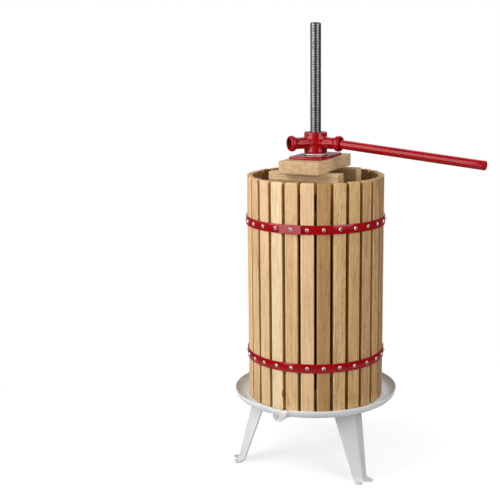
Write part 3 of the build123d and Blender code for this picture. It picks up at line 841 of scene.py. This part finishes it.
def build_plate():
    """Rounded steel plate with a spindle hole and countersunk screws."""
    w, l, t, c, z = 72.0, 118.0, 5.0, 9.0, 643.0
    out = []
    for sx, sy, a0 in ((1, 1, 0), (-1, 1, 90), (-1, -1, 180), (1, -1, 270)):
        out += arc(sx * (w / 2 - c), sy * (l / 2 - c), c, a0, a0 + 90, 8)
    holes = [(0.0, 0.0, 12.5, 48)] + [(sx * 14.0, sy * 28.0, 4.15, 32) for sx in (-1, 1) for sy in (-1, 1)]
    m = len(out)
    v = np.array([(x, y, z) for x, y in out] + [(x, y, z + t) for x, y in out])
    f = [tuple(range(m - 1, -1, -1)), tuple(range(m, 2 * m))]
    f += [(i, (i + 1) % m, m + (i + 1) % m, m + i) for i in range(m)]
    ob = add_mesh("thrust_plate_steel", v, f, 30)
    modify(ob, "BEVEL", width=1.1 * MM, segments=3, limit_method="ANGLE", angle_limit=rad(60))
    bake_modifiers(ob, 30)
    for x, y, r, n in holes:
        if r > 10:
            prof = [(0, z - 3), (r, z - 3), (r, z + t - 1.0), (r + 1.0, z + t), (r + 1.0, z + t + 3), (0, z + t + 3)]
        else:
            prof = [(0, z - 3), (2.0, z - 3), (2.0, z + t - 2.3), (r, z + t), (r, z + t + 3), (0, z + t + 3)]
        cv, cf = lathe(prof, n)
        tool = add_mesh("hole_tool", cv + np.array([x, y, 0]), cf, 30)
        modify(ob, "BOOLEAN", object=tool, operation="DIFFERENCE", solver="EXACT")
        bake_modifiers(ob, 30)
        bpy.data.objects.remove(tool)
    ob.data.transform(Matrix.Rotation(rad(STACK_TURN), 4, "Z"))
    settle(ob, "press_stack", RED, "red_paint", "thrust_plate")
    # flat-headed screws, their cross recess pressed in
    radii = [0.0, 0.45, 0.8, 1.2, 1.6, 2.0, 2.4, 3.0, 3.5, 3.8]
    seg = 40
    sv, rings = [], []
    for r in radii:
        ids = []
        for s in range(1 if r == 0 else seg):
            a = 2 * math.pi * s / seg
            x, y = r * math.cos(a), r * math.sin(a)
            cut = np.clip((0.75 - min(abs(x), abs(y))) / 0.3, 0, 1) * np.clip((2.4 - r) / 0.4, 0, 1)
            ids.append(len(sv))
            sv.append((x, y, z + t - 0.25 - 1.4 * cut))
        rings.append(ids)
    for r, zz in ((2.0, z + t - 2.2), (1.7, z + t - 2.6), (1.7, z - 10.5), (0.5, z - 14.0)):
        ids = []
        for s in range(seg):
            a = 2 * math.pi * s / seg
            ids.append(len(sv))
            sv.append((r * math.cos(a), r * math.sin(a), zz))
        rings.append(ids)
    sf = []
    for a, b in zip(rings, rings[1:]):
        for s in range(seg):
            k = (s + 1) % seg
            sf.append((a[0], b[s], b[k]) if len(a) == 1 else (a[s], b[s], b[k], a[k]))
    sf.append(tuple(reversed(rings[-1])))
    sv = np.array(sv)
    allv, allf = [], []
    for i, (x, y, r, n) in enumerate(holes[1:]):
        allv.append((sv @ about("Z", 20 + 31 * i).T + np.array([x, y, 0])) @ about("Z", STACK_TURN).T)
        allf += [tuple(np.array(q) + len(sv) * i) for q in sf]
    settle(add_mesh("plate_screw_heads", np.concatenate(allv), allf, 35), "press_stack", ZINC, "bright_screw", "plate_screws")


build_plate()


# -------------------------------------------------------- washer, nut, handle
v, f = ring(
    arc(24.5 - 0.9, 651.5 - 0.9, 0.9, 0, 90, 4)
    + [(11.9, 651.5), (11.9, 648.3)]
    + arc(24.5 - 0.9, 648.3 + 0.9, 0.9, -90, 0, 4),
    96,
)
settle(add_mesh("thrust_washer_ring", v, f, 40), "carriage", zinc("zinc_washer", 1.15, 0.48), "zinc_steel", "thrust_washer")


def build_nut():
    """Cast nut: hub and three socket arms run into each other, with the mould's parting ridge."""
    step = 0.66
    lo = np.array([-62.5, -62.5, 649.0])
    n = np.ceil((np.array([62.5, 62.5, 697.0]) - lo) / step).astype(int)
    x, y, z = np.meshgrid(*[lo[i] + step * np.arange(n[i]) for i in range(3)], indexing="ij", sparse=True)
    q = np.sqrt(x * x + y * y)
    h = z - ARM_Z
    zc, zh = (651.8 + 693.9) / 2, (693.9 - 651.8) / 2
    e = 1.6
    a, b = q - (23.2 - e), np.abs(z - zc) - (zh - e)
    hub = np.minimum(np.maximum(a, b), 0) + np.sqrt(np.maximum(a, 0) ** 2 + np.maximum(b, 0) ** 2) - e
    prof = np.array([
        (-5, 13.6), (18, 13.2), (24, 12.2), (30, 11.9), (36, 11.7), (43.5, 11.7), (46.3, 12.3), (48.6, 14.0), (50.6, 15.4),
        (53.2, 16.0), (55.6, 15.9), (57.4, 15.4), (58.8, 14.5), (59.5, 13.8), (60.0, 12.9), (61.5, 9.0),
    ])
    body, hollow, ridge = hub, None, q - 24.6
    for k in range(3):
        phi = rad(HANDLE_PHI + 120.0 * k)
        s = x * math.sin(phi) - y * math.cos(phi)
        t = x * math.cos(phi) + y * math.sin(phi)
        d = np.sqrt(t * t + h * h)
        radius = np.interp(s, prof[:, 0], prof[:, 1])
        arm = (d - radius) * 0.86
        arm = np.maximum(arm, s - 60.0)
        arm = np.maximum(arm, -s)
        body = smin(body, arm, 4.0)
        fin = np.maximum(np.abs(t) - 13.9, np.maximum(s - 47.0, -s))
        ridge = np.minimum(ridge, fin)
        mouth = np.interp(s, [56.5, 58.2, 59.4, 60.2, 61.0], [10.2, 10.2, 10.25, 10.5, 11.0])
        sock = np.maximum(d - mouth, 25.0 - s)
        hollow = sock if hollow is None else np.minimum(hollow, sock)
    ridge = smax(ridge, np.abs(h) - 2.7, 1.0)
    body = smin(body, ridge, 1.1)
    bore = np.minimum(q - 11.35, q - np.minimum(11.35 + np.maximum(0, z - 691.9), 14.0))
    body = smax(body, -np.minimum(bore, hollow), 0.7)
    v, f = from_field(body, lo, step)
    ob = add_mesh("press_nut_casting", v, f, 70)
    modify(ob, "SMOOTH", factor=0.5, iterations=14)
    bake_modifiers(ob, 70)
    settle(ob, "nut", RED_CAST, "red_casting", "press_nut")


build_nut()


def build_handle():
    r, a, b = 9.0, 33.0 - 46.5, 371.0 - 46.5
    prof = [(0, a)] + [(r - 1.2 + 1.2 * math.sin(rad(t)), a + 1.2 - 1.2 * math.cos(rad(t))) for t in (0, 30, 60, 90)]
    prof += [(r, a + (b - a) * i / 24) for i in range(1, 24)]
    prof += [(r - 1.2 + 1.2 * math.cos(rad(t)), b - 1.2 + 1.2 * math.sin(rad(t))) for t in (0, 30, 60, 90)] + [(0, b)]
    v, f = lathe(prof, 48)
    # laid along +X, tipped down about the middle of its socket
    v = v @ about("Y", 90).T
    v = v @ about("Y", 4.1).T + np.array([46.5, 0, ARM_Z])
    settle(add_mesh("handle_bar_steel", v @ azimuth(HANDLE_PHI).T, f, 50), "handle", RED_BAR, "red_paint", "handle_bar")


build_handle()


# ------------------------------------------------------------------- spindle
def build_spindle():
    """Worn rolled thread, 22 mm by 5 mm, as one helical sweep with turned ends."""
    z0, z1, pitch, seg = 154.0, 910.0, 5.0, 40
    crest, root = 10.98, 10.42
    # one pitch of the profile: worn flat crest, steep flanks, flat groove
    prof = [
        (0.0, crest), (1.20, crest), (1.30, crest - 0.06), (1.62, root), (3.38, root), (3.70, crest - 0.06), (3.80, crest),
    ]
    turns = int((z1 - z0) / pitch) + 3
    verts = []
    for k in range(turns):
        for dz, r in prof:
            for s in range(seg):
                t = 2 * math.pi * s / seg
                verts.append((t, z0 - pitch * 1.5 + pitch * (k + s / seg) + dz, r))
    verts = np.array(verts)
    m = len(prof)
    faces = []
    for row in range(turns * m - 1):
        for s in range(seg):
            a = row * seg + s
            if s + 1 < seg:
                faces.append((a, a + 1, a + 1 + seg, a + seg))
            elif row + m + 1 < turns * m:
                faces.append((a, (row + m) * seg, (row + m + 1) * seg, a + seg))
    t, z, r = verts.T
    cut = np.clip(z, z0, z1)
    r = np.minimum(r, crest - np.clip(cut - (z1 - 2.2), 0, None))
    xyz = np.column_stack([r * np.cos(t), r * np.sin(t), cut])
    keep = [q for q in faces if not (all(z[i] <= z0 for i in q) or all(z[i] >= z1 for i in q))]
    used = sorted({i for q in keep for i in q})
    new = {i: j for j, i in enumerate(used)}
    v = xyz[used]
    f = [tuple(new[i] for i in q) for q in keep]
    me = bpy.data.meshes.new("spindle_thread")
    me.from_pydata((v * MM).tolist(), [], f)
    bm = bmesh.new()
    bm.from_mesh(me)
    bmesh.ops.remove_doubles(bm, verts=bm.verts, dist=2e-5)
    bmesh.ops.dissolve_degenerate(bm, edges=bm.edges, dist=1e-5)
    loose = [e for e in bm.edges if e.is_boundary]
    bmesh.ops.holes_fill(bm, edges=loose, sides=0)
    bmesh.ops.recalc_face_normals(bm, faces=bm.faces)
    bm.to_mesh(me)
    bm.free()
    ob = bpy.data.objects.new("spindle_thread", me)
    bpy.context.scene.collection.objects.link(ob)
    crisp(ob, 18)
    # plain foot that goes through the tray
    v, f = lathe([(0, 119.0), (6.8, 119.0), (8.0, 120.2), (8.0, 154.2), (0, 154.2)], 40)
    foot = add_mesh("spindle_foot", v, f, 40)
    settle(ob, "base", STEEL, "spindle_steel", "spindle")
    settle(foot, "base", STEEL, "spindle_steel")


build_spindle()


# ---------------------------------------------------------------------- tray
def catmull(points, n):
    """Smooth curve through the points, sampled evenly along its length."""
    p = np.array(points, float)
    p = np.vstack([2 * p[0] - p[1], p, 2 * p[-1] - p[-2]])
    out = []
    for i in range(1, len(p) - 2):
        for t in np.linspace(0, 1, 24, endpoint=False):
            a, b, c, d = p[i - 1 : i + 3]
            out.append(0.5 * (2 * b + (c - a) * t + (2 * a - 5 * b + 4 * c - d) * t * t + (3 * b - a - 3 * c + d) * t**3))
    out.append(p[-2])
    out = np.array(out)
    s = np.concatenate([[0], np.cumsum(np.linalg.norm(np.diff(out, axis=0), axis=1))])
    u = np.linspace(0, s[-1], n)
    return np.column_stack([np.interp(u, s, out[:, k]) for k in range(3)])


def build_tray():
    """Pressed dish with a juice gutter, a turned-up wall and a pouring lip, 2 mm sheet."""
    # middle of the sheet: floor, step down to the gutter
    base = [(8.4, 147.0), (16, 147.0), (30, 147.0), (60, 147.0), (90, 147.0), (115, 147.0), (130, 147.0), (138, 147.0), (140.6, 147.0)]
    base += [(140.6 + 5.8 * t, 147.0 - 3.0 * (t * t * (3 - 2 * t))) for t in (0.15, 0.3, 0.45, 0.6, 0.75, 0.9, 1.0)]
    base += [(148.6, 144.0)]
    gr, gz = 151.0, 144.0
    rim_r, rim_z = 168.2, 161.3
    # free edge of the lip, from its tip to where it joins the rim: across, out, up
    end_u = 25.0
    end_a = math.asin(end_u / rim_r)
    edge = catmull(
        [
            (0.0, 180.7, 140.0), (5.8, 180.6, 141.4), (10.3, 180.2, 145.1), (12.7, 178.9, 149.9), (13.8, 175.8, 154.5),
            (14.6, 172.4, 158.1), (17.4, 169.2, 160.3), (21.2, 167.4, 161.15), (end_u, rim_r * math.cos(end_a), rim_z),
        ],
        25,
    )
    cols = []
    for s in range(-24, 25):
        e = edge[abs(s)] * np.array([1 if s >= 0 else -1, 1, 1])
        w = abs(s) / 24.0
        ang = end_a * (s / 24.0)
        cols.append((ang, e, w))
    rest = 176
    for j in range(1, rest):
        ang = end_a + (2 * math.pi - 2 * end_a) * j / rest
        cols.append((ang, np.array([rim_r * math.sin(ang), rim_r * math.cos(ang), rim_z]), 1.0))
    steps = 15
    verts = []
    for ang, e, w in cols:
        out = np.array([math.sin(ang), math.cos(ang), 0.0])
        col = [np.array([r * out[0], r * out[1], z]) for r, z in base]
        b = gr * out + np.array([0, 0, gz])
        # at the tip the sheet runs straight out; along the rim it stands upright
        k = np.clip(w / 0.62, 0, 1)
        k = k * k * (3 - 2 * k)
        tip = np.array([-0.02 * np.sign(e[0]), -1.0, 0.09])
        side = np.array([-0.55 * np.sign(e[0]), -0.25, -0.80])
        up = np.array([0.0, 0.0, -1.0])
        if w < 0.38:
            g = w / 0.38
            d = tip * (1 - g) + side * g
        else:
            g = min(1.0, (w - 0.38) / 0.45)
            d = side * (1 - g) + up * g
        d = d / np.linalg.norm(d)
        l1 = 9.4 + 3.0 * (1 - k)
        l2 = 9.6
        p1, p2 = b + out * l1, e + d * l2
        for t in np.linspace(0, 1, steps):
            col.append((1 - t) ** 3 * b + 3 * (1 - t) ** 2 * t * p1 + 3 * (1 - t) * t * t * p2 + t**3 * e)
        verts.append(np.array(col))
    m = len(verts[0])
    v = np.concatenate(verts)
    v = v * np.array([1, -1, 1])
    n = len(cols)
    f = []
    for j in range(n):
        a, b = j * m, ((j + 1) % n) * m
        for i in range(m - 1):
            f.append((a + i, b + i, b + i + 1, a + i + 1))
    ob = add_mesh("tray_pressing", v, f, 60)
    modify(ob, "SOLIDIFY", thickness=2.0 * MM, offset=0.0, use_even_offset=True)
    modify(ob, "BEVEL", width=0.9 * MM, segments=3, limit_method="ANGLE", angle_limit=rad(55))
    bake_modifiers(ob, 50)
    settle(ob, "base", WHITE_TRAY, "white_coat", "tray")


build_tray()


# ---------------------------------------------------------------------- legs
def build_leg(name, phi):
    """Bent sheet leg: two faces off a round ridge, flanges under the tray, two foot tabs."""
    turn, k = rad(33.0), 3.0
    st, ct = math.sin(turn), math.cos(turn)
    z_hi, z_lo = 146.0, 0.0

    def ridge(z):
        return 166.0 + (131.0 - 166.0) * z / 146.0

    def width(z):
        return 19.3 + (43.7 - 19.3) * z / 146.0

    def at(s, h, side, z):
        r = ridge(z)
        return np.array([r - s * st + h * ct, side * (s * ct + h * st), z])

    bend = 6.0
    tan_len = bend / math.tan(rad(57.0))

    def skin(u, z):
        """Point on the outer skin at the signed distance u from the ridge."""
        s, side = abs(u), 1 if u >= 0 else -1
        if s >= tan_len:
            return at(s, 0.0, side, z)
        a = rad(33.0) * s / tan_len
        # arc that is tangent to both faces
        c = ridge(z) - bend / math.sin(rad(57.0))
        return np.array([c + bend * math.cos(a), side * bend * math.sin(a), z])

    fr = np.array([0.0, 0.045, 0.09, 0.128, 0.19, 0.24, 0.30, 0.38, 0.46, 0.54, 0.62, 0.70, 0.78, 0.86, 0.93, 1.0])
    us = np.concatenate([-fr[:0:-1], fr])
    nc = len(us)
    rows, verts, faces = [], [], []
    # faces, from the foot up
    for z in [7.0, 9.0, 14.0, 22.0, 36.0, 54.0, 74.0, 94.0, 114.0, 130.0, 138.0, 141.8]:
        ids = []
        for u in us:
            ids.append(len(verts))
            w = width(z)
            verts.append(skin(u * w, z))
        rows.append(ids)
    for a, b in zip(rows, rows[1:]):
        for j in range(nc - 1):
            faces.append((a[j], a[j + 1], b[j + 1], b[j]))
    # top: flange on each face, bent in under the tray; plain edge elsewhere
    top = rows[-1]
    zt = 145.9
    wt = width(zt)
    lifted = {}

    def lift(j):
        if j not in lifted:
            lifted[j] = len(verts)
            verts.append(skin(us[j] * wt, zt))
        return lifted[j]

    flange = {}
    for j, u in enumerate(us):
        s = abs(u) * wt
        if 0.19 <= abs(u) <= 0.94:
            side = 1 if u > 0 else -1
            deep = min(28.0, (s * ct - 0.8) / st)
            if s > 36:
                deep = min(deep, 28.0 - (s - 36) * 0.8)
            line = []
            for h, z in ((-0.35, 144.2), (-1.35, 145.45), (-3.0, zt), (-7.0, zt), (-12.0, zt), (-18.0, zt), (-deep, zt)):
                hh = max(h, -deep)
                line.append(len(verts))
                verts.append(at(s, hh, side, zt) * np.array([1, 1, 0]) + np.array([0, 0, z]))
            flange[j] = line
    for j in range(nc - 1):
        if j in flange and j + 1 in flange and us[j] * us[j + 1] > 0:
            la, lb = [top[j]] + flange[j], [top[j + 1]] + flange[j + 1]
            for a0, b0, a1, b1 in zip(la, lb, la[1:], lb[1:]):
                faces.append((a0, b0, b1, a1))
        else:
            faces.append((top[j], top[j + 1], lift(j + 1), lift(j)))
    # foot: a tab bent out on each face, its end round
    low = rows[0]
    tabs = {}
    for j, u in enumerate(us):
        if abs(u) >= 0.128 - 1e-6:
            side = 1 if u > 0 else -1
            s = 2.6 + (abs(u) - 0.128) / (1 - 0.128) * 16.4
            qq = np.clip((s - 10.8) / 8.2, -1, 1)
            end = 7.0 + 8.2 * math.sqrt(max(0.0, 1 - qq * qq))
            line = []
            for h, z in ((0.35, 5.2), (1.35, 3.75), (3.0, 3.0)):
                line.append(len(verts))
                verts.append(at(s, h, side, 0) * np.array([1, 1, 0]) + np.array([0, 0, z]))
            for g in (0.33, 0.66, 1.0):
                line.append(len(verts))
                verts.append(at(s, 3.0 + (end - 3.0) * g, side, 0) * np.array([1, 1, 0]) + np.array([0, 0, 3.0]))
            tabs[j] = line
    for j in range(nc - 1):
        if j in tabs and j + 1 in tabs and us[j] * us[j + 1] > 0:
            la, lb = [low[j]] + tabs[j], [low[j + 1]] + tabs[j + 1]
            for a0, b0, a1, b1 in zip(la, lb, la[1:], lb[1:]):
                faces.append((a0, b0, b1, a1))
    v = np.array(verts)
    me = bpy.data.meshes.new(name + "_sheet")
    me.from_pydata((v * MM).tolist(), [], [list(map(int, q)) for q in faces])
    bm = bmesh.new()
    bm.from_mesh(me)
    bmesh.ops.remove_doubles(bm, verts=bm.verts, dist=1e-5)
    bmesh.ops.recalc_face_normals(bm, faces=bm.faces)
    # the skin faces outward, away from the axis
    big = max((q for q in bm.faces), key=lambda q: q.calc_area())
    if big.normal.x < 0:
        bmesh.ops.reverse_faces(bm, faces=bm.faces)
    bm.to_mesh(me)
    bm.free()
    ob = bpy.data.objects.new(name + "_sheet", me)
    bpy.context.scene.collection.objects.link(ob)
    modify(ob, "SOLIDIFY", thickness=k * MM, offset=-1.0, use_even_offset=True)
    bake_modifiers(ob, 40)
    for side in (1, -1):
        c = at(10.8, 7.0, side, 0)
        cv, cf = lathe([(0, -8), (3.0, -8), (3.0, 8), (0, 8)], 32)
        tool = add_mesh("hole_tool", cv + c, cf, 30)
        modify(ob, "BOOLEAN", object=tool, operation="DIFFERENCE", solver="EXACT")
        bake_modifiers(ob, 40)
        bpy.data.objects.remove(tool)
    modify(ob, "BEVEL", width=0.6 * MM, segments=2, limit_method="ANGLE", angle_limit=rad(50))
    bake_modifiers(ob, 45)
    m = np.eye(4)
    m[:3, :3] = azimuth(phi)
    ob.data.transform(Matrix(m.tolist()))
    settle(ob, "base", WHITE_LEG, "white_coat", name)


for leg_name, leg_phi in LEG_PHI.items():
    build_leg(leg_name, leg_phi)

# plain fasteners keep their exact shapes
for node, mat in (
    ("leg_bolts", ZINC),
    ("leg_nuts", ZINC),
    ("spindle_collar", ZINC),
    ("stiffener_plate", ZINC),
    ("spindle_washer", ZINC),
    ("spindle_nut", ZINC),
):
    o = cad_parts[node]
    o.data.materials.clear()
    o.data.materials.append(mat)

# --------------------------------------------------------------- floor, light
n = 96
floor_v = [(0.0, 0.0, -0.4)] + [(820 * math.cos(2 * math.pi * i / n), 820 * math.sin(2 * math.pi * i / n), -0.4) for i in range(n)]
floor = add_mesh("studio_floor", floor_v, [(0, 1 + i, 1 + (i + 1) % n) for i in range(n)], 30)
k = Look("studio_floor")
p = k.coord.outputs["Object"]
first = k.add("ShaderNodeLightPath").outputs["Is Camera Ray"]
pale = k.ramp(k.noise(p, 1.5, 2.0), [(0.3, (0.345, 0.345, 0.345)), (0.7, (0.355, 0.355, 0.355))])
k.put(k.bsdf.inputs["Base Color"], k.mix(first, (0.55, 0.55, 0.55), pale))
k.set(Roughness=0.9, Specular_IOR_Level=0.0)
k.set(Emission_Color=(1.0, 1.0, 1.0, 1.0))
k.put(k.bsdf.inputs["Emission Strength"], k.math("MULTIPLY", first, k.span(k.vec("LENGTH", p), 0.10, 0.75, 0.72, 1.0)))
floor.data.materials.append(k.mat)

scene = bpy.context.scene
scene.view_settings.view_transform = "Standard"
scene.view_settings.look = "None"
scene.view_settings.exposure = 0.0
scene.view_settings.gamma = 1.0

world = bpy.data.worlds.new("studio")
scene.world = world
world.use_nodes = True
nt = world.node_tree
nt.nodes.clear()
wo = nt.nodes.new("ShaderNodeOutputWorld")
lp = nt.nodes.new("ShaderNodeLightPath")
seen = nt.nodes.new("ShaderNodeBackground")
seen.inputs[0].default_value = (1, 1, 1, 1)
seen.inputs[1].default_value = 1.0
fill = nt.nodes.new("ShaderNodeBackground")
fill.inputs[0].default_value = (1.0, 0.98, 0.95, 1)
fill.inputs[1].default_value = 0.09
mixer = nt.nodes.new("ShaderNodeMixShader")
nt.links.new(lp.outputs["Is Camera Ray"], mixer.inputs[0])
nt.links.new(fill.outputs[0], mixer.inputs[1])
nt.links.new(seen.outputs[0], mixer.inputs[2])
nt.links.new(mixer.outputs[0], wo.inputs[0])


def softbox(name, az, dist, height, size, power, aim=(0.0, 0.0, 0.45), color=(1, 1, 1)):
    """Rectangular light at an azimuth counted from the camera."""
    a = rad(az + CAMERA_AZ)
    light = bpy.data.lights.new(name, "AREA")
    light.shape = "RECTANGLE"
    light.size, light.size_y = size
    light.energy = power
    light.color = color
    ob = bpy.data.objects.new(name, light)
    ob.location = (dist * math.sin(a), -dist * math.cos(a), height)
    d = Vector(aim) - Vector(ob.location)
    ob.rotation_euler = d.to_track_quat("-Z", "Y").to_euler()
    scene.collection.objects.link(ob)
    return ob


softbox("panel_left", -43, 1.6, 0.95, (1.6, 1.4), 5.2, aim=(0, 0, 0.95))
softbox("strip_left", -44, 2.3, 0.20, (0.5, 0.6), 3.4)
softbox("key_left", -60, 1.15, 1.12, (0.85, 1.4), 16.6, aim=(0, 0, 0.6))
softbox("side_left", -100, 1.6, 1.05, (1.4, 1.3), 4.0, aim=(0, 0, 0.8))
softbox("panel_right", 47, 1.6, 0.95, (0.95, 1.4), 1.4, aim=(0, 0, 0.95))
softbox("fill_right", 45, 1.15, 1.12, (0.8, 1.4), 11.6, aim=(0, 0, 0.6))
softbox("back_low", 180, 2.2, 0.9, (2.2, 1.4), 2.4, aim=(0, 0, 0.5))
softbox("back_high", 165, 1.5, 2.1, (1.8, 1.0), 13.0, aim=(0, 0, 0.4))

# -------------------------------------------------------------------- camera
cam = bpy.data.cameras.new("camera")
cam.sensor_width = 36.0
cam.lens = 1089.97 / 500.0 * 36.0
cam.shift_x = -(315.67 - 250.0) / 500.0
cam.clip_start, cam.clip_end = 0.05, 50.0
cam_ob = bpy.data.objects.new("camera", cam)
a = rad(CAMERA_AZ)
cam_ob.location = (2.19954 * math.sin(a), -2.19954 * math.cos(a), 0.89927)
cam_ob.rotation_euler = (math.pi / 2 - 0.2011098, 0.0, a)
scene.collection.objects.link(cam_ob)
scene.camera = cam_ob
